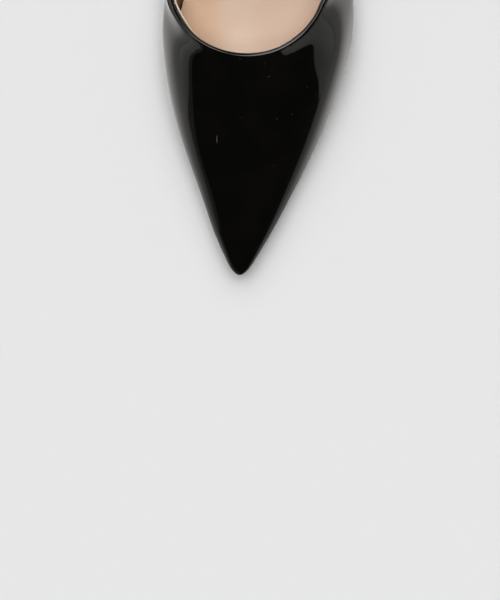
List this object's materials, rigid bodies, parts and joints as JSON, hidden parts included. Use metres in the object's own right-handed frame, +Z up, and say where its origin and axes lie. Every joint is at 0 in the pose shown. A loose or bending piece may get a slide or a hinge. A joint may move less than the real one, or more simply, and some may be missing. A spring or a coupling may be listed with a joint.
{
  "type": "stiletto mule",
  "caption": "Backless pointed-toe shoe with a glossy black upper, a low-cut round throat, a nude insole, a thin sole and a slim high heel; left foot.",
  "frame": {"origin": "middle of the plan outline's box, on the floor", "axes": "+Z up, -Y towards the toe tip, +Y towards the heel, +X towards the lateral (outer) side"},
  "size_m": [0.0816, 0.2518, 0.0812],
  "materials": {
    "patent_leather": "black patent, mirror gloss",
    "insole_leather": "smooth nude leather, satin",
    "sole": "plain black, matt",
    "heel_cover": "covered in black patent, gloss",
    "top_piece": "hard black, satin"
  },
  "bodies": {
    "root": {"upper": "patent_leather", "insole": "insole_leather", "outsole": "sole", "heel": "heel_cover", "top_piece": "top_piece"}
  },
  "joints": []
}
